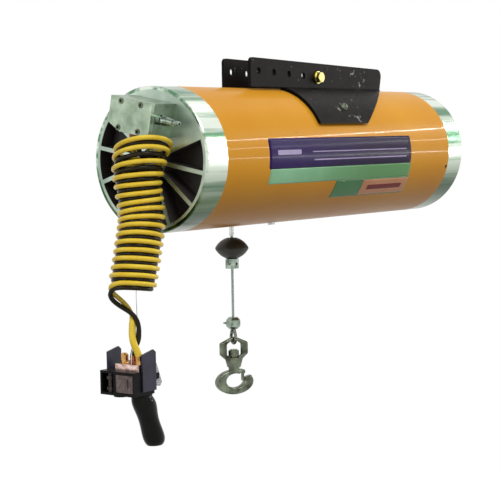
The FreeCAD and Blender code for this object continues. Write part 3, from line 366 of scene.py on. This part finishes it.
def make_materials():
    """Every finish by its name, as the nodes' slots and NODE_FINISHES give it."""
    finishes = {
        # Metals
        "plated_steel": plain("yellow_zinc", rgb(206, 196, 128), rgb(160, 146, 84), 0.30, metal=1.0),
        "dark_steel": plain("greenish_steel", rgb(132, 140, 120), rgb(46, 49, 40), 0.30, metal=1.0,
                            scale=55.0, grain=0.3, grain_scale=500.0),
        "collar_steel": plain("collar_steel", rgb(176, 192, 178), rgb(78, 90, 80), 0.26, metal=1.0,
                              scale=90.0),
        "bright_steel": plain("bright_steel", rgb(214, 216, 214), rgb(168, 172, 170), 0.26, metal=1.0),
        "brass_metal": plain("brass_metal", rgb(226, 182, 112), rgb(150, 100, 56), 0.26, metal=1.0,
                             scale=90.0),
        "copper_metal": plain("copper_metal", rgb(168, 104, 74), rgb(96, 56, 38), 0.34, metal=1.0,
                              scale=90.0),
        "pink_bronze": plain("pink_bronze", rgb(248, 224, 214), rgb(156, 108, 96), 0.20, metal=1.0,
                             scale=110.0),
        "cover_metal": plain("cover_metal", rgb(178, 194, 172), rgb(132, 150, 128), 0.38, metal=1.0,
                             scale=60.0, grain=0.3, grain_scale=650.0),
        "silver_cast": plain("silver_cast", rgb(164, 180, 160), rgb(108, 124, 106), 0.34, metal=1.0,
                             scale=45.0, grain=0.35, grain_scale=650.0),
        "dull_plate": plain("dull_plate", rgb(116, 101, 99), rgb(72, 61, 61), 0.40, metal=0.7,
                            scale=160.0, grain=0.3, grain_scale=650.0),
        "dark_pin": plain("dark_pin", rgb(74, 66, 62), rgb(40, 34, 32), 0.30, metal=0.8, scale=90.0),
        # Rubber and plastics
        "black_rubber": plain("black_rubber", rgb(62, 59, 52), rgb(40, 38, 33), 0.46, scale=50.0,
                              grain=0.3, grain_scale=500.0, shine=0.30),
        "black_hose": plain("black_hose", rgb(48, 42, 26), rgb(28, 24, 18), 0.20, scale=40.0,
                            grain=0.05, rough_spread=0.08, shine=0.10),
        "yellow_hose": plain("yellow_hose", rgb(244, 214, 72), rgb(230, 192, 50), 0.26, scale=40.0,
                             grain=0.05, rough_spread=0.10, shine=0.18),
        "black_plastic": plain("black_plastic", rgb(27, 24, 24), rgb(16, 14, 14), 0.34, scale=40.0,
                               grain=0.10, grain_scale=700.0, shine=0.08),
        "ear_plastic": plain("ear_plastic", rgb(54, 52, 70), rgb(34, 33, 46), 0.24, scale=40.0,
                             grain=0.08, grain_scale=700.0, shine=0.30),
        "grip_plastic": plain("grip_plastic", rgb(24, 23, 20), rgb(14, 13, 12), 0.14, scale=40.0,
                              grain=0.04, grain_scale=700.0, rough_spread=0.05, shine=0.10),
        "grey_plastic": ridged_grey(),
    }
    made = {name: finish.material for name, finish in finishes.items()}
    made.update({
        "yellow_paint": barrel_paint(),
        "left_metal": cap_metal("left"),
        "right_metal": cap_metal("right"),
        "black_paint": black_paint(),
        "rope_steel": rope_steel(),
        "rope_weave": slanted_rope(),
    })
    return made


# Nodes whose finish differs from the others of their slot
NODE_FINISHES = {
    "left_cap": "left_metal", "right_cap": "right_metal",
    "manifold_cover": "cover_metal", "inlet_fitting": "collar_steel",
    "hose_fitting_yellow": "copper_metal", "hose_fitting_black": "copper_metal",
    "pendant_fitting_black": "copper_metal",
    "stop_collar": "collar_steel", "rope_clamp": "collar_steel", "rope_eye": "rope_weave",
    "ear_left": "ear_plastic", "ear_right": "ear_plastic", "hand_grip": "grip_plastic",
    "valve_block": "pink_bronze", "valve_plate": "dull_plate", "valve_spool": "dark_pin",
}


def dress_nodes(made):
    slots = {entry["node"]: entry["material_slot"] for entry in frame["record"]["subparts"]}
    for name, thing in frame["nodes"].items():
        material = made[NODE_FINISHES.get(name, slots[name])]
        if not thing.material_slots:
            thing.data.materials.append(material)
        for slot in thing.material_slots:
            slot.material = material


# Hoses, wire and rope. Routes are in millimetres from the barrel's middle
HOSE_RADIUS, WIRE_RADIUS = 4.0, 0.75
# Lengths in metres
YELLOW_LENGTH, BLACK_LENGTH, WIRE_LENGTH = 4.15, 3.65, 0.13
# Each hose's lower sleeve: the height where it starts, its radius, and the radius of its tapered tip
YELLOW_SLEEVE_TOP, YELLOW_SLEEVE_RADIUS = -254.0, 5.8
BLACK_SLEEVE_TOP, BLACK_SLEEVE_RADIUS = -280.0, 5.0
SLEEVE_TIP = 4.1
# The middle line of the coil, and the hoses' ways into it from above and out of it down to the handle
COIL_ROUTE = [(-478, -20, 28.2), (-478, -9.1, -27.8), (-478, -24, -90), (-501, -30, -150),
              (-520, -30, -217)]
YELLOW_TOP = [(-466, 5.67, 33.19), (-466, 7.2, 25.3), (-464.2, 8.5, 19.5), (-459, 9.3, 14.8),
              (-451.8, 8.5, 12), (-444.6, 5.1, 11.4), (-439.6, -1.1, 11.8), (-437.2, -9, 12.4),
              (-436.8, -17, 13)]
BLACK_TOP = [(-468.5, -11.31, 29.89), (-468.5, -9.8, 22), (-467.5, -9.5, 15), (-463.5, -9, 8.5),
             (-457, -8.5, 4.5), (-450, -10, 4)]
YELLOW_ROUTE = [(-556, -21, -199), (-551, -13, -205), (-543, -8.5, -212), (-534.5, -9, -219),
                (-526, -13, -227), (-518.5, -17, -235.5), (-513, -21, -245), (-512, -25, -256),
                (-515, -27, -269), (-519, -29, -284), (-520.5, -33, -298), (-517.5, -38, -310),
                (-516, -40, -319)]
BLACK_ROUTE = [(-552.5, -21, -205), (-551.5, -14, -211), (-547.5, -8.5, -218), (-541, -8, -226),
               (-533.5, -12, -233.5), (-526, -18, -240), (-519, -26, -247), (-513.5, -33, -256),
               (-511.5, -37, -267), (-511, -38, -281), (-511, -34.5, -295), (-513, -28.5, -307),
               (-514, -26, -319)]
WIRE_ROUTE = [(-514, -36, -210), (-512, -34, -237), (-510, -34, -262), (-510, -31, -282),
              (-516, -29, -302), (-522, -29, -318), (-523, -30, -333)]
# The front height of each turn of the yellow hose, from the top
TURN_HEIGHTS = [39, 24, 0, -22, -38, -53.5, -69, -83.5, -97, -110.5, -124, -137, -150, -163, -176, -189,
                -202, -216]
# For the first turns, and then held: how far the front rises, half the width, and the front's shift right
TURN_TILTS = [17, 13, 9, 5, 2, 0.5, 0]
TURN_WIDTHS = [46, 45, 43, 40, 37.5, 37]
TURN_SHIFTS = [12, 8, 4, 0]
# Half the most that a turn measures from front to back, and how much a turn rises above the first height
TURN_DEPTH, FIRST_RISE = 38.5, 15.0
# The turns stand square to the coil's line by this share, which grows from the first height to the second
SQUARE_SHARE, SQUARE_FROM, SQUARE_TO = 0.75, -45.0, -85.0
# Where the turns begin and end, and how many points each has
COIL_START, COIL_END, TURN_POINTS = -0.42, 16.10, 14
# The black hose's place between the yellow turns, and how much closer to the middle it lies
BLACK_DROP, BLACK_INSET = 0.5, 4.6
# The coil's right and front, as the photograph shows them
RIGHT = Vector((0.597, -0.802, 0.0))
FRONT = Vector((-0.802, -0.597, 0.0))


def spline_curve(name, points, radius, material):
    """A smooth round cord through control points given in millimetres from the barrel's middle."""
    data = bpy.data.curves.new(name, "CURVE")
    data.dimensions = "3D"
    data.bevel_depth = radius * MM
    data.bevel_resolution = 5
    data.resolution_u = 4
    data.use_fill_caps = True
    spline = data.splines.new("NURBS")
    spline.points.add(len(points) - 1)
    for spot, point in zip(spline.points, points):
        spot.co = (*at(point), 1.0)
    spline.order_u = 3
    spline.use_endpoint_u = True
    thing = bpy.data.objects.new(name, data)
    bpy.context.scene.collection.objects.link(thing)
    if material:
        data.materials.append(material)
    return thing


def follow(points):
    """The points of the smooth line through a route, in millimetres from the barrel's middle."""
    line = spline_curve("line", points, 0.0, None)
    line.data.resolution_u = 12
    bpy.context.view_layer.update()
    mesh = bpy.data.meshes.new_from_object(line)
    spots = [vertex.co / MM - BARREL for vertex in mesh.vertices]
    bpy.data.objects.remove(line)
    return spots


def between(values, place):
    """The value at a place between two items of a list, held at its ends."""
    place = min(max(place, 0.0), len(values) - 1.001)
    low = int(place)
    return values[low] + (values[low + 1] - values[low]) * (place - low)


def coil_points(line, drop, inset):
    """Points of one hose round the coil's line. Whole turn numbers are at the coil's front."""
    points = []
    for number in range(int(round((COIL_END - COIL_START) * TURN_POINTS)) + 1):
        turn = COIL_START + number / TURN_POINTS
        place = turn + drop
        tilt = between(TURN_TILTS, place)
        wide = between(TURN_WIDTHS, place) - inset
        deep = min(wide, TURN_DEPTH - inset)
        front = between(TURN_HEIGHTS, place) - min(place, 0.0) * FIRST_RISE
        height = front - tilt
        near = min(range(len(line)), key=lambda index: abs(line[index].z - height))
        centre = line[near]
        before, after = line[max(near - 1, 0)], line[min(near + 1, len(line) - 1)]
        lean = (after - before).normalized()
        phase = math.radians(90.0 + 360.0 * turn)
        shift = between(TURN_SHIFTS, place) * (1.0 + math.sin(phase)) / 2
        offset = RIGHT * (wide * math.cos(phase) + shift) + FRONT * (deep * math.sin(phase))
        square = min(max((SQUARE_FROM - height) / (SQUARE_FROM - SQUARE_TO), 0.0), 1.0) * SQUARE_SHARE
        shear = -(lean.x * offset.x + lean.y * offset.y) / lean.z * square
        rise = Vector((0, 0, tilt * math.sin(phase) + shear))
        points.append(Vector((centre.x, centre.y, height)) + offset + rise)
    return points


def make_sleeve(name, points, top, radius, material):
    """A thicker sleeve, tapered at its top, round the lower end of a hose."""
    spots = [spot for spot in follow(points) if spot.z < top]
    sleeve = spline_curve(name, spots[:-1:5] + [spots[-1]], radius, material)
    along = sleeve.data.splines[0].points
    along[0].radius = SLEEVE_TIP / radius
    along[1].radius = (SLEEVE_TIP / radius + 1.0) / 2
    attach(sleeve, "housing")
    return sleeve


def make_hoses(made):
    line = follow(COIL_ROUTE)
    yellow = YELLOW_TOP + coil_points(line, 0.0, 0.0) + YELLOW_ROUTE
    black = BLACK_TOP + coil_points(line, BLACK_DROP, BLACK_INSET) + BLACK_ROUTE
    for name, points, node, length, top, radius in (
            ("yellow_hose", yellow, "hose_yellow", YELLOW_LENGTH, YELLOW_SLEEVE_TOP, YELLOW_SLEEVE_RADIUS),
            ("black_hose", black, "hose_black", BLACK_LENGTH, BLACK_SLEEVE_TOP, BLACK_SLEEVE_RADIUS)):
        points = [Vector(point) for point in points]
        hose = spline_curve(name + "_line", points, HOSE_RADIUS, made[name])
        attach(hose, "housing")
        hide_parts(node, "hose_coil")
        sleeve = make_sleeve(name + "_sleeve", points, top, radius, made[name])
    wire = spline_curve("safety_wire_line", WIRE_ROUTE, WIRE_RADIUS, made["bright_steel"])
    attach(wire, "housing")
    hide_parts("safety_wire")


def mesh_object(name, mesh, material):
    """An object with a finished mesh, whose four-sided faces are smooth."""
    data = bpy.data.meshes.new(name)
    mesh.normal_update()
    mesh.to_mesh(data)
    mesh.free()
    for face in data.polygons:
        face.use_smooth = len(face.vertices) == 4
    data.materials.append(material)
    thing = bpy.data.objects.new(name, data)
    bpy.context.scene.collection.objects.link(thing)
    return thing


def make_rope(made):
    """The lifting rope, with grooves between its strands, in the place of the part's rope."""
    low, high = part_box("wire_rope")
    middle = (low + high) / 2
    radius = (high.x - low.x) / 2
    rings = int(round((high.z - low.z) / ROPE_RING_STEP))
    mesh = bmesh.new()
    rows = []
    for number in range(rings + 1):
        z = high.z + (low.z - high.z) * number / rings
        row = []
        for side in range(ROPE_SIDES):
            angle = 2 * math.pi * side / ROPE_SIDES
            lobe = abs(math.cos(ROPE_STRANDS / 2 * (angle + 2 * math.pi * z / ROPE_LAY)))
            out = radius * (1 - ROPE_GROOVE * (1 - lobe))
            row.append(mesh.verts.new((middle.x + out * math.cos(angle),
                                       middle.y + out * math.sin(angle), z)))
        rows.append(row)
    for above, below in zip(rows, rows[1:]):
        for side in range(ROPE_SIDES):
            after = (side + 1) % ROPE_SIDES
            mesh.faces.new((above[side], below[side], below[after], above[after]))
    mesh.faces.new(rows[0])
    mesh.faces.new(rows[-1][::-1])
    rope = mesh_object("lifting_rope", mesh, made["rope_steel"])
    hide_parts("wire_rope")
    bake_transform(rope)


# Plain labels on the barrel: the radius of each layer of them, and their thickness
LABEL_RADIUS, LABEL_OVER, LABEL_TOP = 125.06, 125.14, 125.20
LABEL_THICKNESS = 0.06 * MM
# Columns along the barrel and rows round it
LABEL_COLUMNS, LABEL_ROWS = 60, 14
# Each label's span along the barrel in millimetres, its span up it in degrees, layer, finish and corners
LABELS = (
    ("label_panel", (-257, 223), (-9.6, 15.3), LABEL_RADIUS, "violet", 2.0),
    ("label_strip", (-252, 225), (-22.2, -9.6), LABEL_RADIUS, "mint", 1.0),
    ("label_small", (-34, 229), (-39.5, -22.2), LABEL_RADIUS, "green", 1.0),
    ("label_small_end", (62, 228), (-38.6, -23.4), LABEL_OVER, "salmon", 1.0),
    ("label_small_bar", (84, 210), (-33.4, -28.6), LABEL_TOP, "red", 2.0),
    ("label_bar_short", (-232, -160), (1.6, 5.6), LABEL_OVER, "pale", 2.0),
    ("label_bar_long", (-124, 205), (3.2, 4.0), LABEL_OVER, "pale", 0.4),
    ("label_bar_low", (-120, 205), (-3.6, -2.6), LABEL_OVER, "pale", 0.4),
)
# Where a label's colour changes to its far one, in metres along the part
LABEL_FADE = (-0.15, 0.12)


def barrel_patch(name, along, around, radius, material, corner):
    """A thin curved sheet on the barrel, with rounded corners."""
    low_x, high_x = along
    low_angle, high_angle = around
    rise = math.radians(high_angle - low_angle) * radius
    mesh = bmesh.new()
    grid = []
    for row in range(LABEL_ROWS + 1):
        share = row / LABEL_ROWS
        from_edge = min(share, 1 - share) * rise
        inset = corner - math.sqrt(max(corner ** 2 - (corner - min(from_edge, corner)) ** 2, 0.0))
        angle = math.radians(low_angle + (high_angle - low_angle) * share)
        line = []
        for column in range(LABEL_COLUMNS + 1):
            x = (low_x + inset) + (high_x - low_x - 2 * inset) * column / LABEL_COLUMNS
            line.append(mesh.verts.new(at((x, -radius * math.cos(angle), radius * math.sin(angle)))))
        grid.append(line)
    for lower, upper in zip(grid, grid[1:]):
        for column in range(LABEL_COLUMNS):
            mesh.faces.new((lower[column], lower[column + 1], upper[column + 1], upper[column]))
    sheet = mesh_object(name, mesh, material)
    thick = sheet.modifiers.new("thickness", "SOLIDIFY")
    thick.thickness = LABEL_THICKNESS
    thick.offset = 0.0
    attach(sheet, "housing")


def label_finish(name, colour, dark, far=None):
    """Printed film. Its colour may change along the barrel to a far one."""
    made = plain(name, colour, dark, 0.26, coat=0.04, scale=12.0, grain=0.02, grain_scale=400.0,
                 rough_spread=0.08, shine=0.05)
    if far:
        x = made.split(made.coords)[0]
        ends = made.ramp(made.add(x, made.times(made.noise(30.0), 0.05)), *LABEL_FADE)
        made.set("Base Color", made.mix(ends, made.get("Base Color"), far))
    return made.material


def make_labels():
    finishes = {
        "violet": label_finish("label_violet", rgb(50, 31, 92), rgb(39, 24, 74), rgb(34, 21, 54)),
        "mint": label_finish("label_mint", rgb(150, 202, 160), rgb(130, 184, 140), rgb(102, 152, 98)),
        "green": label_finish("label_green", rgb(86, 138, 90), rgb(70, 118, 76)),
        "salmon": label_finish("label_salmon", rgb(204, 148, 108), rgb(186, 126, 88)),
        "red": label_finish("label_red", rgb(128, 38, 28), rgb(100, 28, 24)),
        "pale": label_finish("label_pale", rgb(186, 172, 204), rgb(150, 134, 176)),
    }
    for name, along, around, radius, finish, corner in LABELS:
        barrel_patch(name, along, around, radius, finishes[finish], corner)


# Floor, backdrop and light
# The floor's lit part is darker than white, and its glow makes up for that
FLOOR_GLOW, FLOOR_GREY, FLOOR_SEEN = 1.07, 0.6, 0.93
# Metres across the floor, and from the resting part down to it, which is more than the hook travels
FLOOR_SIZE, FLOOR_DROP = 120.0, 2.15
# The white world's strength as light. Where it is seen, its strength is 1
WORLD_LIGHT = 0.38
# Each lamp's place, its size in metres and its power in watts. All face LAMP_AIM
LAMP_AIM = (0.0, 0.0, -0.15)
LAMPS = (
    ("key", (-1.6, -2.4, 2.3), (2.0, 0.8), 64.0),
    ("fill", (-3.4, 0.6, 0.6), (1.2, 1.8), 22.0),
    ("rim", (1.6, -1.2, 2.6), (2.4, 0.5), 32.0),
)
# Narrow lamps to the right, whose gloss runs in thin lines along the barrel: the angle up the barrel where
# each line lies, and the lamp's power
LINE_LAMPS = (("line_top", 17.6, 14.0), ("line_middle", 9.0, 4.5), ("line_low", -0.8, 7.0))
LINE_LAMP_SIZE, LINE_LAMP_DISTANCE = (1.3, 0.04), 3.0
# The level direction in which the camera sees the labels: its shares along the barrel and across it
LINE_ALONG, LINE_ACROSS = 0.83, 0.57


def seen_directly(nodes, links):
    """1 for a ray from the camera, or one that a gloss or glass sends on, and 0 for the rest."""
    path = nodes.new("ShaderNodeLightPath")
    either = path.outputs["Is Camera Ray"]
    for kind in "Is Glossy Ray", "Is Transmission Ray":
        more = nodes.new("ShaderNodeMath")
        more.operation = "MAXIMUM"
        links.new(either, more.inputs[0])
        links.new(path.outputs[kind], more.inputs[1])
        either = more.outputs[0]
    return either


def seen_white(name):
    """White where it is seen, and an ordinary floor to the light, so that it keeps shadows."""
    material = bpy.data.materials.new(name)
    material.use_nodes = True
    nodes, links = material.node_tree.nodes, material.node_tree.links
    nodes.clear()
    output = nodes.new("ShaderNodeOutputMaterial")
    mixed = nodes.new("ShaderNodeMixShader")
    lit_floor = nodes.new("ShaderNodeBsdfDiffuse")
    lit_floor.inputs["Color"].default_value = (FLOOR_GREY, FLOOR_GREY, FLOOR_GREY, 1.0)
    glow = nodes.new("ShaderNodeEmission")
    glow.inputs["Strength"].default_value = FLOOR_GLOW
    scaled = nodes.new("ShaderNodeMath")
    scaled.operation = "MULTIPLY"
    scaled.inputs[1].default_value = FLOOR_SEEN
    links.new(seen_directly(nodes, links), scaled.inputs[0])
    links.new(scaled.outputs[0], mixed.inputs["Fac"])
    links.new(lit_floor.outputs[0], mixed.inputs[1])
    links.new(glow.outputs[0], mixed.inputs[2])
    links.new(mixed.outputs[0], output.inputs["Surface"])
    return material


def make_stage():
    lowest = cad_box[0][2]
    bpy.ops.mesh.primitive_plane_add(size=FLOOR_SIZE, location=(0.0, 0.0, lowest - FLOOR_DROP))
    floor = bpy.context.object
    floor.name = "floor"
    floor.data.materials.append(seen_white("floor_white"))
    world = bpy.data.worlds.new("world")
    bpy.context.scene.world = world
    world.use_nodes = True
    nodes, links = world.node_tree.nodes, world.node_tree.links
    nodes.clear()
    output = nodes.new("ShaderNodeOutputWorld")
    background = nodes.new("ShaderNodeBackground")
    background.inputs["Color"].default_value = (1.0, 1.0, 1.0, 1.0)
    share = nodes.new("ShaderNodeMapRange")
    share.inputs["To Min"].default_value = WORLD_LIGHT
    share.inputs["To Max"].default_value = 1.0
    links.new(seen_directly(nodes, links), share.inputs["Value"])
    links.new(share.outputs[0], background.inputs["Strength"])
    links.new(background.outputs[0], output.inputs["Surface"])


def area_light(name, place, size, power):
    data = bpy.data.lights.new(name, "AREA")
    data.shape = "RECTANGLE"
    data.size, data.size_y = size
    data.energy = power
    lamp = bpy.data.objects.new(name, data)
    lamp.location = place
    lamp.rotation_euler = (Vector(LAMP_AIM) - Vector(place)).to_track_quat("-Z", "Y").to_euler()
    bpy.context.scene.collection.objects.link(lamp)


def make_lights():
    for name, place, size, power in LAMPS:
        area_light(name, place, size, power)
    for name, angle, power in LINE_LAMPS:
        lean = math.radians(angle)
        facing = LINE_ACROSS * math.cos(lean)
        away = Vector((LINE_ALONG, LINE_ACROSS - 2 * facing * math.cos(lean), 2 * facing * math.sin(lean)))
        place = away * LINE_LAMP_DISTANCE + Vector((0.1, 0.0, BARREL.z * MM))
        area_light(name, place, LINE_LAMP_SIZE, power)


def main():
    place_camera()
    made = make_materials()
    make_hoses(made)
    make_rope(made)
    dress_nodes(made)
    make_labels()
    make_stage()
    make_lights()
    bpy.context.scene.view_settings.view_transform = "Standard"


main()
